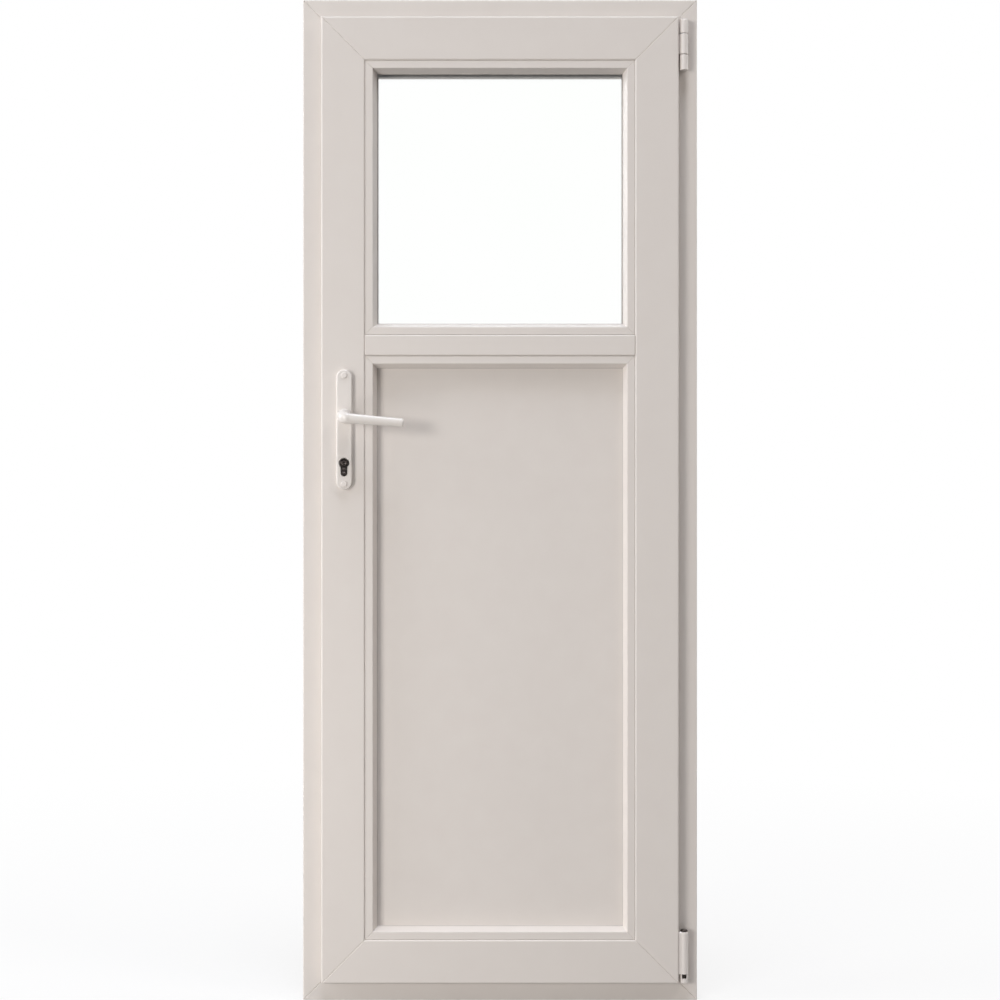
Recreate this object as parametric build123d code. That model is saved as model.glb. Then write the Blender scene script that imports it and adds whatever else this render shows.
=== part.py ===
from build123d import *
import os
from math import cos, pi, radians, sin, sqrt, tan

# A half-glazed PVC service door: one inward-opening leaf in a frame of four sides.
# X runs right as seen from the room, Y runs away from the room and Z runs up.
# The origin is on the underside of the sill, at mid width and mid depth. Sizes are in millimetres.

# Frame
FRAME_WIDTH = 788.0
FRAME_HEIGHT = 2000.0
FRAME_DEPTH = 70.0
FRAME_FACE = 46.0
FRAME_EDGE_RADIUS = 2.0
STOP_REACH = 17.0
STOP_THICKNESS = 17.0
STOP_EDGE_RADIUS = 2.0
LUG_GROOVE_WIDTH = 6.0
LUG_GROOVE_DEPTH = 3.0
LUG_GROOVE_INSET = 8.0
DRAIN_CAP_LENGTH = 42.0
DRAIN_CAP_HEIGHT = 12.0
DRAIN_CAP_RISE = 5.0
DRAIN_CAP_EDGE = 2.0
DRAIN_CAP_Z = 22.0
DRAIN_CAP_END_GAP = 150.0

# Room between leaf and frame
LEAF_LAP = 7.5
SEAL_GAP = 5.0
EDGE_GAP = 11.0

# Leaf
LEAF_FACE = 87.0
FLANGE_THICKNESS = 17.0
LEAF_EDGE_RADIUS = 3.0
BEAD_LINE_RADIUS = 3.5
BACK_EDGE_RADIUS = 1.0
UPSTAND_THICKNESS = 20.0
UPSTAND_EDGE_RADIUS = 2.0
FITTING_GROOVE_WIDTH = 16.4
FITTING_GROOVE_DEPTH = 4.0
FITTING_GROOVE_SETBACK = 20.0
MID_RAIL_FACE = 42.0
MID_RAIL_HEIGHT = 1307.5
MID_RAIL_END_EDGE = 0.8
WELD_GROOVE = 1.0
CUT_MARGIN = 1.0

# Weather seals between leaf and frame
SEAL_GROOVE_WIDTH = 4.0
SEAL_GROOVE_DEPTH = 4.0
SEAL_GROOVE_INSET = 4.0
SEAL_LIP_WIDTH = 6.0
SEAL_LIP_AIR = 1.0
SEAL_LIP_RADIUS = 1.0
SEAL_FIT = 0.1

# Glazing beads, glass and panel
BEAD_FLAT = 15.2
BEAD_SLOPE = 7.4
BEAD_RECESS = 1.6
BEAD_EDGE_RADIUS = 0.6
BEAD_MITRE_GROOVE = 0.8
BEAD_FIT = 0.3
BEAD_LAND = 1.5
BEAD_FOOT_WIDTH = 4.0
BEAD_FOOT_DEPTH = 4.0
BEAD_FOOT_SETBACK = 9.0
UNIT_THICKNESS = 24.0
PANE_THICKNESS = 4.0
UNIT_EDGE_PLAY = 5.0
SPACER_HEIGHT = 7.0
SPACER_INSET = 3.0
GLAZING_SEAL_THICKNESS = 3.0
GLAZING_SEAL_HEIGHT = 7.0
GLAZING_SEAL_SHOW = 1.2

# Handles
BACKSET = 28.0
SPINDLE_HEIGHT = 1165.0
SPINDLE_SIZE = 8.0
SPINDLE_BORE = 13.0
SPINDLE_FIT = 0.1
CYLINDER_DROP = 92.0
PLATE_LENGTH = 238.0
PLATE_WIDTH = 31.0
PLATE_THICKNESS = 9.0
PLATE_EDGE_RADIUS = 2.5
PLATE_HOLE_BEVEL = 0.8
PLATE_SCREW_SPACING = 215.0
PLATE_BOTTOM_TO_SCREW = 11.5
CYLINDER_TO_LOWER_SCREW = 41.0
SCREW_CAP_DIAMETER = 12.0
SCREW_CAP_RISE = 2.2
SCREW_CAP_EDGE = 1.8
LEVER_LENGTH = 120.0
LEVER_PROJECTION = 52.0
LEVER_NECK_DIAMETER = 25.0
LEVER_JOURNAL_DIAMETER = 16.0
LEVER_JOURNAL_LENGTH = 6.0
LEVER_BEND_RADIUS = 13.0
LEVER_BEND_STEPS = 4
LEVER_ROOT_HEIGHT = 19.5
LEVER_TIP_HEIGHT = 16.0
LEVER_ROOT_THICKNESS = 14.0
LEVER_TIP_THICKNESS = 11.0
LEVER_TIP_RADIUS = 3.0
LEVER_ROOT_DROP = 4.5
LEVER_DROOP = 5.0
RUNNING_FIT = 0.05
LEVER_PLATE_GAP = 0.3

# Lock
CYLINDER_ROUND = 17.0
CYLINDER_LOBE = 10.0
CYLINDER_HEIGHT = 33.0
CYLINDER_FIT = 0.3
PLATE_CYLINDER_FIT = 1.5
CYLINDER_PROUD = 1.0
PLUG_DIAMETER = 13.0
PLUG_DEPTH = 12.0
PLUG_RIM_BEVEL = 1.2
KEYWAY_WIDTH = 2.4
KEYWAY_HEIGHT = 8.0
KEYWAY_DEPTH = 9.0
FACEPLATE_WIDTH = 16.0
FACEPLATE_THICKNESS = 3.0
FACEPLATE_END_GAP = 60.0
BOLT_THICKNESS = 9.0
BOLT_DEPTH = 20.0
BOLT_FIT = 0.3
LATCH_HEIGHT = 30.0
LATCH_PROUD = 2.0
DEAD_BOLT_HEIGHT = 36.0
DEAD_BOLT_ABOVE_CYLINDER = 32.0
STRIKE_LENGTH = 180.0
STRIKE_WIDTH = 24.0
STRIKE_THICKNESS = 1.5
STRIKE_PLAY = 3.0
STRIKE_POCKET_DEPTH = 14.0

# Hinges
BARREL_DIAMETER = 17.0
BARREL_GAP = 2.5
BARREL_SETBACK = 10.0
KNUCKLE_GAP = 1.5
KNUCKLE_EDGE = 1.0
BOTTOM_KNUCKLE = 30.0
LEAF_KNUCKLE = 40.0
TOP_KNUCKLE = 29.0
TOP_KNUCKLE_DROP = 3.0
TOP_DOME = 4.0
HINGE_NECK_WIDTH = 9.0
HINGE_ARM_THICKNESS = 5.0
HINGE_PIN_DIAMETER = 8.0
HINGE_PIN_END = 4.0
CUP_HEIGHT = 17.0
CUP_FLOOR = 9.0
CUP_BORE = 12.0
CUP_NOTCH_WIDTH = 9.0
CUP_GAP = 1.0
SLEEVE_HEIGHT = 84.0
SLEEVE_BEVEL = 2.0
SLEEVE_WING_SETBACK = 1.5
SLEEVE_WING_THICKNESS = 13.0
CORE_RISE = 4.0
CORE_DIAMETER = 15.0
CORE_DOME = 3.5

# Planes of the section, from the room outwards
frame_room_y = -FRAME_DEPTH / 2
frame_outer_y = FRAME_DEPTH / 2
stop_y = frame_outer_y - STOP_THICKNESS
flange_back_y = frame_room_y - SEAL_GAP
leaf_room_y = flange_back_y - FLANGE_THICKNESS
leaf_outer_y = stop_y - SEAL_GAP
upstand_y = leaf_outer_y - UPSTAND_THICKNESS
unit_outer_y = upstand_y - GLAZING_SEAL_THICKNESS
unit_room_y = unit_outer_y - UNIT_THICKNESS
bead_room_y = leaf_room_y + BEAD_RECESS
bead_back_y = unit_room_y - GLAZING_SEAL_THICKNESS
fitting_y = flange_back_y + FITTING_GROOVE_SETBACK

# Outline of the leaf and of its two openings
leaf_inset = FRAME_FACE - LEAF_LAP
flange_reach = LEAF_LAP + EDGE_GAP
leaf_width = FRAME_WIDTH - 2 * leaf_inset
leaf_height = FRAME_HEIGHT - 2 * leaf_inset
leaf_bottom_z = leaf_inset
leaf_top_z = FRAME_HEIGHT - leaf_inset
opening_width = leaf_width - 2 * LEAF_FACE
glass_bottom_z = MID_RAIL_HEIGHT + MID_RAIL_FACE / 2
glass_top_z = leaf_top_z - LEAF_FACE
panel_bottom_z = leaf_bottom_z + LEAF_FACE
panel_top_z = MID_RAIL_HEIGHT - MID_RAIL_FACE / 2
bead_height = BEAD_FLAT + BEAD_SLOPE

# Handle and hinge places
leaf_edge_x = leaf_width / 2
lock_edge_x = -leaf_edge_x + flange_reach
handle_x = lock_edge_x + BACKSET
cylinder_z = SPINDLE_HEIGHT - CYLINDER_DROP
lower_screw_z = cylinder_z - CYLINDER_TO_LOWER_SCREW
plate_z = lower_screw_z - PLATE_BOTTOM_TO_SCREW + PLATE_LENGTH / 2
hinge_x = leaf_edge_x + BARREL_GAP + BARREL_DIAMETER / 2
hinge_y = leaf_room_y + BARREL_SETBACK
hinge_top_z = leaf_top_z - TOP_KNUCKLE_DROP
top_knuckle_z = hinge_top_z - TOP_KNUCKLE
leaf_knuckle_z = top_knuckle_z - KNUCKLE_GAP - LEAF_KNUCKLE
bottom_knuckle_z = leaf_knuckle_z - KNUCKLE_GAP - BOTTOM_KNUCKLE
cup_z = leaf_bottom_z
sleeve_z = cup_z + CUP_HEIGHT + CUP_GAP


# Mitred rings

def section_face(points, radii):
    """Face of a bar's section, from points of depth and reach, with its corners rounded."""
    return make_face(FilletPolyline(*points, radius=radii, close=True).edges())


def mitred_bar(section, length):
    """Bar along X with its outer edge at Z = 0, its section reaching up and both ends mitred."""
    bar = extrude(Plane.YZ * section, amount=length / 2, both=True)
    box = bar.bounding_box()
    low, high = box.min.Z - CUT_MARGIN, box.max.Z + CUT_MARGIN
    trapezoid = Polyline(
        (-length / 2 + low, low),
        (length / 2 - low, low),
        (length / 2 - high, high),
        (-length / 2 + high, high),
        close=True,
    )
    depth = 2 * max(abs(box.min.Y), abs(box.max.Y))
    return bar & extrude(Plane.XZ * make_face(trapezoid.edges()), amount=depth, both=True)


def mitred_ring(section, width, height, bottom_z):
    """The four bars of a rectangular ring, by side as seen from the room."""
    across, upright = mitred_bar(section, width), mitred_bar(section, height)
    middle_z = bottom_z + height / 2
    return {
        "bottom": Pos(0, 0, bottom_z) * across,
        "left": Pos(-width / 2, 0, middle_z) * Rot(0, 90, 0) * upright,
        "top": Pos(0, 0, bottom_z + height) * Rot(0, 180, 0) * across,
        "right": Pos(width / 2, 0, middle_z) * Rot(0, -90, 0) * upright,
    }


def continuous_ring(section, width, height, bottom_z):
    """A ring of one piece, as a seal that is welded at its corners."""
    bars = mitred_ring(section, width, height, bottom_z)
    return bars["bottom"] + bars["left"] + bars["top"] + bars["right"]


def mitre_grooves(width, height, bottom_z, reach, face_y, depth):
    """V-shaped grooves along the four mitres of a ring, on one face."""
    side = depth * sqrt(2)
    grooves = []
    for across in (-1, 1):
        for up in (0, 1):
            corner = (across * width / 2, face_y, bottom_z + up * height)
            inward = (-across, 0, 1 - 2 * up)
            plane = Plane(origin=corner, x_dir=(0, 1, 0), z_dir=inward)
            diamond = plane * Rectangle(side, side, rotation=45)
            grooves.append(extrude(diamond, amount=reach * sqrt(2)))
    return grooves


def room_plane(x, y, z):
    """Upright plane with X to the right and Z up, whose extrusions come out towards the room."""
    return Plane(origin=(x, y, z), x_dir=(1, 0, 0), z_dir=(0, -1, 0))


def span(low, high):
    """Box between two opposite corners."""
    size = [high[i] - low[i] for i in range(3)]
    middle = [(high[i] + low[i]) / 2 for i in range(3)]
    return Pos(*middle) * Box(*size)


# Frame

def frame_section():
    """L-shaped section: face and rebate, with the stop on the outside and lug grooves at the wall."""
    groove_high = FRAME_FACE + STOP_REACH - SEAL_GROOVE_INSET
    groove_low = groove_high - SEAL_GROOVE_WIDTH
    groove_y = stop_y + SEAL_GROOVE_DEPTH
    lug_out = frame_outer_y - LUG_GROOVE_INSET
    lug_in = frame_room_y + LUG_GROOVE_INSET
    edge, tip = FRAME_EDGE_RADIUS, STOP_EDGE_RADIUS
    corners = [
        (frame_room_y, 0, edge),
        (frame_room_y, FRAME_FACE, edge),
        (stop_y, FRAME_FACE, 0),
        (stop_y, groove_low, 0),
        (groove_y, groove_low, 0),
        (groove_y, groove_high, 0),
        (stop_y, groove_high, 0),
        (stop_y, FRAME_FACE + STOP_REACH, 0),
        (frame_outer_y, FRAME_FACE + STOP_REACH, tip),
        (frame_outer_y, 0, edge),
        (lug_out, 0, 0),
        (lug_out, LUG_GROOVE_DEPTH, 0),
        (lug_out - LUG_GROOVE_WIDTH, LUG_GROOVE_DEPTH, 0),
        (lug_out - LUG_GROOVE_WIDTH, 0, 0),
        (lug_in + LUG_GROOVE_WIDTH, 0, 0),
        (lug_in + LUG_GROOVE_WIDTH, LUG_GROOVE_DEPTH, 0),
        (lug_in, LUG_GROOVE_DEPTH, 0),
        (lug_in, 0, 0),
    ]
    return section_face([c[:2] for c in corners], [c[2] for c in corners])


def lip_section(base_y, side, groove_low):
    """Seal with its foot in a groove behind base_y and a rounded lip across the gap in front of it."""
    foot_low = groove_low + SEAL_FIT
    foot_high = groove_low + SEAL_GROOVE_WIDTH - SEAL_FIT
    middle = groove_low + SEAL_GROOVE_WIDTH / 2
    lip_y = base_y - side * (SEAL_GAP - SEAL_LIP_AIR)
    foot_y = base_y + side * (SEAL_GROOVE_DEPTH - SEAL_FIT)
    low, high = middle - SEAL_LIP_WIDTH / 2, middle + SEAL_LIP_WIDTH / 2
    points = [
        (foot_y, foot_low), (base_y, foot_low), (base_y, low),
        (lip_y, middle - SEAL_GROOVE_WIDTH / 4), (lip_y, middle + SEAL_GROOVE_WIDTH / 4),
        (base_y, high), (base_y, foot_high), (foot_y, foot_high),
    ]
    return section_face(points, [0, 0, 0, SEAL_LIP_RADIUS, SEAL_LIP_RADIUS, 0, 0, 0])


def drain_caps():
    """Two hooded caps over the drain slots on the outside of the sill."""
    reach = FRAME_WIDTH / 2 - DRAIN_CAP_END_GAP
    caps = []
    for x in (-reach, reach):
        outline = room_plane(x, frame_outer_y, DRAIN_CAP_Z) * SlotOverall(DRAIN_CAP_LENGTH, DRAIN_CAP_HEIGHT)
        cap = extrude(outline, amount=-DRAIN_CAP_RISE)
        caps.append(fillet(cap.faces().sort_by(Axis.Y)[-1].edges(), DRAIN_CAP_EDGE))
    return Compound(children=caps)


def frame_parts():
    bars = mitred_ring(frame_section(), FRAME_WIDTH, FRAME_HEIGHT, 0)
    reach = FRAME_FACE + STOP_REACH
    grooves = mitre_grooves(FRAME_WIDTH, FRAME_HEIGHT, 0, reach, frame_room_y, WELD_GROOVE)
    grooves += mitre_grooves(FRAME_WIDTH, FRAME_HEIGHT, 0, reach, frame_outer_y, WELD_GROOVE)
    bars = {side: bar - grooves for side, bar in bars.items()}
    bars["left"] -= [strike_window(z, height, STRIKE_POCKET_DEPTH) for z, height in bolt_places()]
    seal_low = reach - SEAL_GROOVE_INSET - SEAL_GROOVE_WIDTH
    return {
        "frame_head": bars["top"],
        "frame_sill": bars["bottom"],
        "frame_lock_jamb": bars["left"],
        "frame_hinge_jamb": bars["right"],
        "frame_seal": continuous_ring(lip_section(stop_y, 1, seal_low), FRAME_WIDTH, FRAME_HEIGHT, 0),
        "strike_plate": strike_plate(),
        "sill_drain_caps": drain_caps(),
    }


# Leaf

def leaf_section():
    """Leaf bar: flange over the frame, groove for the fittings, rebate and upstand for the glazing."""
    groove_low = SEAL_GROOVE_INSET
    groove_high = groove_low + SEAL_GROOVE_WIDTH
    groove_y = flange_back_y - SEAL_GROOVE_DEPTH
    fit_low = fitting_y - FITTING_GROOVE_WIDTH / 2
    fit_high = fitting_y + FITTING_GROOVE_WIDTH / 2
    fit_floor = flange_reach + FITTING_GROOVE_DEPTH
    foot_y = leaf_room_y + BEAD_FOOT_SETBACK
    corners = [
        (leaf_room_y, 0, LEAF_EDGE_RADIUS),
        (leaf_room_y, LEAF_FACE, BEAD_LINE_RADIUS),
        (foot_y, LEAF_FACE, 0),
        (foot_y, LEAF_FACE - BEAD_FOOT_DEPTH, 0),
        (foot_y + BEAD_FOOT_WIDTH, LEAF_FACE - BEAD_FOOT_DEPTH, 0),
        (foot_y + BEAD_FOOT_WIDTH, LEAF_FACE, 0),
        (upstand_y, LEAF_FACE, 0),
        (upstand_y, LEAF_FACE + bead_height, 0),
        (leaf_outer_y, LEAF_FACE + bead_height, UPSTAND_EDGE_RADIUS),
        (leaf_outer_y, flange_reach, BACK_EDGE_RADIUS),
        (fit_high, flange_reach, 0),
        (fit_high, fit_floor, 0),
        (fit_low, fit_floor, 0),
        (fit_low, flange_reach, 0),
        (flange_back_y, flange_reach, 0),
        (flange_back_y, groove_high, 0),
        (groove_y, groove_high, 0),
        (groove_y, groove_low, 0),
        (flange_back_y, groove_low, 0),
        (flange_back_y, 0, BACK_EDGE_RADIUS),
    ]
    return section_face([c[:2] for c in corners], [c[2] for c in corners])


def mid_rail():
    """T-shaped rail between the stiles, with its outside flange cut back to their upstands."""
    half = MID_RAIL_FACE / 2
    foot_y = leaf_room_y + BEAD_FOOT_SETBACK
    above = [
        (leaf_room_y, half, BEAD_LINE_RADIUS),
        (foot_y, half, 0),
        (foot_y, half - BEAD_FOOT_DEPTH, 0),
        (foot_y + BEAD_FOOT_WIDTH, half - BEAD_FOOT_DEPTH, 0),
        (foot_y + BEAD_FOOT_WIDTH, half, 0),
        (upstand_y, half, 0),
        (upstand_y, half + bead_height, 0),
        (leaf_outer_y, half + bead_height, UPSTAND_EDGE_RADIUS),
    ]
    corners = above + [(y, -z, radius) for y, z, radius in reversed(above)]
    section = section_face([c[:2] for c in corners], [c[2] for c in corners])
    rail = Pos(0, 0, MID_RAIL_HEIGHT) * extrude(Plane.YZ * section, amount=opening_width / 2, both=True)
    upstand_x = opening_width / 2 - bead_height
    for side in (-1, 1):
        end_x = sorted((side * upstand_x, side * opening_width))
        low = (end_x[0], upstand_y, panel_top_z - bead_height - CUT_MARGIN)
        high = (end_x[1], leaf_outer_y + CUT_MARGIN, glass_bottom_z + bead_height + CUT_MARGIN)
        rail -= span(low, high)
    face = rail.faces().filter_by(Axis.Y).sort_by(Axis.Y)[0]
    ends = face.edges().filter_by(Axis.Z)
    return chamfer(ends, MID_RAIL_END_EDGE)


def leaf_parts():
    bars = mitred_ring(leaf_section(), leaf_width, leaf_height, leaf_bottom_z)
    reach = LEAF_FACE + bead_height
    grooves = mitre_grooves(leaf_width, leaf_height, leaf_bottom_z, LEAF_FACE, leaf_room_y, WELD_GROOVE)
    grooves += mitre_grooves(leaf_width, leaf_height, leaf_bottom_z, reach, leaf_outer_y, WELD_GROOVE)
    bars = {side: bar - grooves for side, bar in bars.items()}
    depth = leaf_outer_y - leaf_room_y
    spindle_bore = extrude(
        room_plane(handle_x, leaf_outer_y, SPINDLE_HEIGHT) * Circle(SPINDLE_BORE / 2), amount=depth)
    cylinder_hole = extrude(
        room_plane(handle_x, leaf_outer_y, cylinder_z) * cylinder_outline(CYLINDER_FIT), amount=depth)
    bars["left"] -= [spindle_bore, cylinder_hole]
    bars["left"] -= [bolt(z, height + 2 * BOLT_FIT, 0, BOLT_FIT) for z, height in bolt_places()]
    seal = lip_section(flange_back_y, -1, SEAL_GROOVE_INSET)
    return {
        "leaf_top_rail": bars["top"],
        "leaf_bottom_rail": bars["bottom"],
        "leaf_lock_stile": bars["left"],
        "leaf_hinge_stile": bars["right"],
        "leaf_mid_rail": mid_rail(),
        "leaf_seal": continuous_ring(seal, leaf_width, leaf_height, leaf_bottom_z),
    }


# Glazing

def bead_section():
    """Bead with a flat face, a sloped side towards the glass and a foot that snaps into the leaf."""
    foot_y = leaf_room_y + BEAD_FOOT_SETBACK + BEAD_FIT
    foot_end_y = leaf_room_y + BEAD_FOOT_SETBACK + BEAD_FOOT_WIDTH - BEAD_FIT
    corners = [
        (bead_room_y, BEAD_FIT, BEAD_EDGE_RADIUS),
        (bead_room_y, BEAD_FLAT, BEAD_EDGE_RADIUS),
        (bead_back_y - BEAD_LAND, bead_height, 0),
        (bead_back_y, bead_height, 0),
        (bead_back_y, BEAD_FIT, 0),
        (foot_end_y, BEAD_FIT, 0),
        (foot_end_y, BEAD_FIT - BEAD_FOOT_DEPTH, 0),
        (foot_y, BEAD_FIT - BEAD_FOOT_DEPTH, 0),
        (foot_y, BEAD_FIT, 0),
    ]
    return section_face([c[:2] for c in corners], [c[2] for c in corners])


def glazing_seals(height, bottom_z):
    """Two flat seals, one each side of a glass unit or panel, just showing past bead and upstand."""
    high = bead_height + GLAZING_SEAL_SHOW
    low = high - GLAZING_SEAL_HEIGHT
    seals = []
    for near_y, far_y in ((bead_back_y, unit_room_y), (unit_outer_y, upstand_y)):
        section = section_face([(near_y, low), (near_y, high), (far_y, high), (far_y, low)], [0, 0, 0, 0])
        seals.append(continuous_ring(section, opening_width, height, bottom_z))
    return Compound(children=seals)


def slab(room_y, thickness, height, bottom_z):
    """Flat sheet that fills an opening but for the play at its edges."""
    half = opening_width / 2 - UNIT_EDGE_PLAY
    low = (-half, room_y, bottom_z + UNIT_EDGE_PLAY)
    high = (half, room_y + thickness, bottom_z + height - UNIT_EDGE_PLAY)
    return span(low, high)


def glazing_parts():
    glass_height = glass_top_z - glass_bottom_z
    panel_height = panel_top_z - panel_bottom_z
    parts = {}
    for name, height, bottom_z in (
        ("glass", glass_height, glass_bottom_z),
        ("panel", panel_height, panel_bottom_z),
    ):
        grooves = mitre_grooves(opening_width, height, bottom_z, BEAD_FLAT, bead_room_y, BEAD_MITRE_GROOVE)
        for side, bead in mitred_ring(bead_section(), opening_width, height, bottom_z).items():
            parts[f"{name}_bead_{side}"] = bead - grooves
        parts[f"{name}_seals"] = glazing_seals(height, bottom_z)
    spacer_low = UNIT_EDGE_PLAY + SPACER_INSET
    spacer_room_y = unit_room_y + PANE_THICKNESS
    spacer_outer_y = unit_outer_y - PANE_THICKNESS
    spacer_high = spacer_low + SPACER_HEIGHT
    spacer = section_face(
        [(spacer_room_y, spacer_low), (spacer_room_y, spacer_high),
         (spacer_outer_y, spacer_high), (spacer_outer_y, spacer_low)], [0, 0, 0, 0])
    parts["glass_room_pane"] = slab(unit_room_y, PANE_THICKNESS, glass_height, glass_bottom_z)
    parts["glass_outer_pane"] = slab(spacer_outer_y, PANE_THICKNESS, glass_height, glass_bottom_z)
    parts["glass_spacer"] = continuous_ring(spacer, opening_width, glass_height, glass_bottom_z)
    parts["lower_panel"] = slab(unit_room_y, UNIT_THICKNESS, panel_height, panel_bottom_z)
    return parts


# Handles

def cylinder_outline(clearance):
    """Outline of the lock cylinder: a round for the plug over a narrower lobe."""
    lobe = CYLINDER_LOBE / 2 + clearance
    drop = CYLINDER_HEIGHT - CYLINDER_ROUND / 2 - CYLINDER_LOBE / 2
    body = Circle(CYLINDER_ROUND / 2 + clearance) + Pos(0, -drop) * Circle(lobe)
    return body + Pos(0, -drop / 2) * Rectangle(2 * lobe, drop)


def handle_plate(face_y, outward):
    """Long plate with round ends, bored for the lever and cut out for the lock cylinder."""
    outline = room_plane(handle_x, face_y, plate_z) * SlotOverall(PLATE_LENGTH, PLATE_WIDTH, rotation=90)
    plate = extrude(outline, amount=-outward * PLATE_THICKNESS)
    front = plate.faces().sort_by(Axis.Y)[0 if outward < 0 else -1]
    plate = fillet(front.outer_wire().edges(), PLATE_EDGE_RADIUS)
    front_y = face_y + outward * PLATE_THICKNESS
    lobe_reach = CYLINDER_HEIGHT - CYLINDER_ROUND / 2 + PLATE_CYLINDER_FIT
    window = room_plane(handle_x, front_y, cylinder_z) * cylinder_outline(PLATE_CYLINDER_FIT)
    plate -= extrude(window, amount=outward * PLATE_THICKNESS)
    rim = plate.edges().filter_by_position(Axis.Y, front_y, front_y).filter_by_position(
        Axis.Z, cylinder_z - lobe_reach, cylinder_z + CYLINDER_ROUND / 2 + PLATE_CYLINDER_FIT)
    rim = rim.filter_by_position(Axis.X, handle_x - CYLINDER_ROUND, handle_x + CYLINDER_ROUND)
    plate = chamfer(rim, PLATE_HOLE_BEVEL)
    journal = room_plane(handle_x, front_y, SPINDLE_HEIGHT) * Circle(LEVER_JOURNAL_DIAMETER / 2 + RUNNING_FIT)
    return plate - extrude(journal, amount=outward * PLATE_THICKNESS)


def screw_caps():
    """Two low round caps over the plate's screws, on the room side."""
    caps = []
    for z in (lower_screw_z, lower_screw_z + PLATE_SCREW_SPACING):
        disc = room_plane(handle_x, leaf_room_y - PLATE_THICKNESS, z) * Circle(SCREW_CAP_DIAMETER / 2)
        cap = extrude(disc, amount=SCREW_CAP_RISE)
        caps.append(fillet(cap.faces().sort_by(Axis.Y)[0].edges(), SCREW_CAP_EDGE))
    return Compound(children=caps)


def lever(face_y, outward):
    """Lever of one casting: a round neck bends outwards and down into a tapering bar that droops a little."""
    plate_front = face_y + outward * PLATE_THICKNESS
    bar_y = face_y + outward * (LEVER_PROJECTION - LEVER_ROOT_THICKNESS / 2)
    bend_y = bar_y - outward * LEVER_BEND_RADIUS
    neck_y = plate_front + outward * LEVER_PLATE_GAP
    root = Vector(handle_x + LEVER_BEND_RADIUS, bar_y, SPINDLE_HEIGHT - LEVER_ROOT_DROP)
    tip_length = LEVER_LENGTH - LEVER_BEND_RADIUS
    tip_shift = outward * (LEVER_ROOT_THICKNESS - LEVER_TIP_THICKNESS) / 2
    tip = root + Vector(tip_length, tip_shift, -tip_length * tan(radians(LEVER_DROOP)))

    def oval(centre, direction, thickness, height):
        return Plane(origin=centre, x_dir=(0, 0, 1), z_dir=direction) * Ellipse(height / 2, thickness / 2)

    neck = oval((handle_x, neck_y, SPINDLE_HEIGHT), (0, outward, 0), LEVER_NECK_DIAMETER, LEVER_NECK_DIAMETER)
    sections = [neck]
    for step in range(LEVER_BEND_STEPS + 1):
        share = step / LEVER_BEND_STEPS
        turn = share * pi / 2
        centre = (
            handle_x + LEVER_BEND_RADIUS * (1 - cos(turn)),
            bend_y + outward * LEVER_BEND_RADIUS * sin(turn),
            SPINDLE_HEIGHT - share * LEVER_ROOT_DROP,
        )
        thickness = LEVER_NECK_DIAMETER + share * (LEVER_ROOT_THICKNESS - LEVER_NECK_DIAMETER)
        height = LEVER_NECK_DIAMETER + share * (LEVER_ROOT_HEIGHT - LEVER_NECK_DIAMETER)
        sections.append(oval(centre, (sin(turn), outward * cos(turn), 0), thickness, height))
    bend = loft(sections)
    bar = loft([sections[-1], oval(tip, (1, 0, 0), LEVER_TIP_THICKNESS, LEVER_TIP_HEIGHT)])
    bar = fillet(bar.faces().sort_by(Axis.X)[-1].edges(), LEVER_TIP_RADIUS)
    neck_plane = room_plane(handle_x, neck_y, SPINDLE_HEIGHT)
    journal = extrude(neck_plane * Circle(LEVER_JOURNAL_DIAMETER / 2), amount=outward * LEVER_JOURNAL_LENGTH)
    socket_size = SPINDLE_SIZE + 2 * SPINDLE_FIT
    socket = extrude(neck_plane * Rectangle(socket_size, socket_size), amount=2 * LEVER_JOURNAL_LENGTH, both=True)
    return bend + bar + journal - socket


def handle_parts():
    spindle_end = 2 * LEVER_JOURNAL_LENGTH - LEVER_PLATE_GAP - SPINDLE_FIT
    room_end = leaf_room_y - PLATE_THICKNESS - spindle_end
    outer_end = leaf_outer_y + PLATE_THICKNESS + spindle_end
    spindle = room_plane(handle_x, outer_end, SPINDLE_HEIGHT) * Rectangle(SPINDLE_SIZE, SPINDLE_SIZE)
    return {
        "inside_handle_plate": handle_plate(leaf_room_y, -1),
        "outside_handle_plate": handle_plate(leaf_outer_y, 1),
        "plate_screw_caps": screw_caps(),
        "inside_lever": lever(leaf_room_y, -1),
        "outside_lever": lever(leaf_outer_y, 1),
        "handle_spindle": extrude(spindle, amount=outer_end - room_end),
    }


# Lock

def bolt_places():
    """Height of the middle of each bolt, and its own height: the latch, then the dead bolt."""
    return [
        (SPINDLE_HEIGHT, LATCH_HEIGHT),
        (cylinder_z + DEAD_BOLT_ABOVE_CYLINDER, DEAD_BOLT_HEIGHT),
    ]


def bolt(z, height, proud, clearance):
    """Block of a bolt, standing proud of the leaf's lock edge."""
    half = BOLT_THICKNESS / 2 + clearance
    low = (lock_edge_x - proud, fitting_y - half, z - height / 2)
    high = (lock_edge_x + BOLT_DEPTH + clearance, fitting_y + half, z + height / 2)
    return span(low, high)


def strike_window(z, height, depth):
    """Opening in the strike plate and the jamb behind it, with play round a bolt."""
    half = BOLT_THICKNESS / 2 + STRIKE_PLAY
    wall_x = -FRAME_WIDTH / 2 + FRAME_FACE
    low = (wall_x - depth, fitting_y - half, z - height / 2 - STRIKE_PLAY)
    high = (wall_x + STRIKE_THICKNESS, fitting_y + half, z + height / 2 + STRIKE_PLAY)
    return span(low, high)


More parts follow.
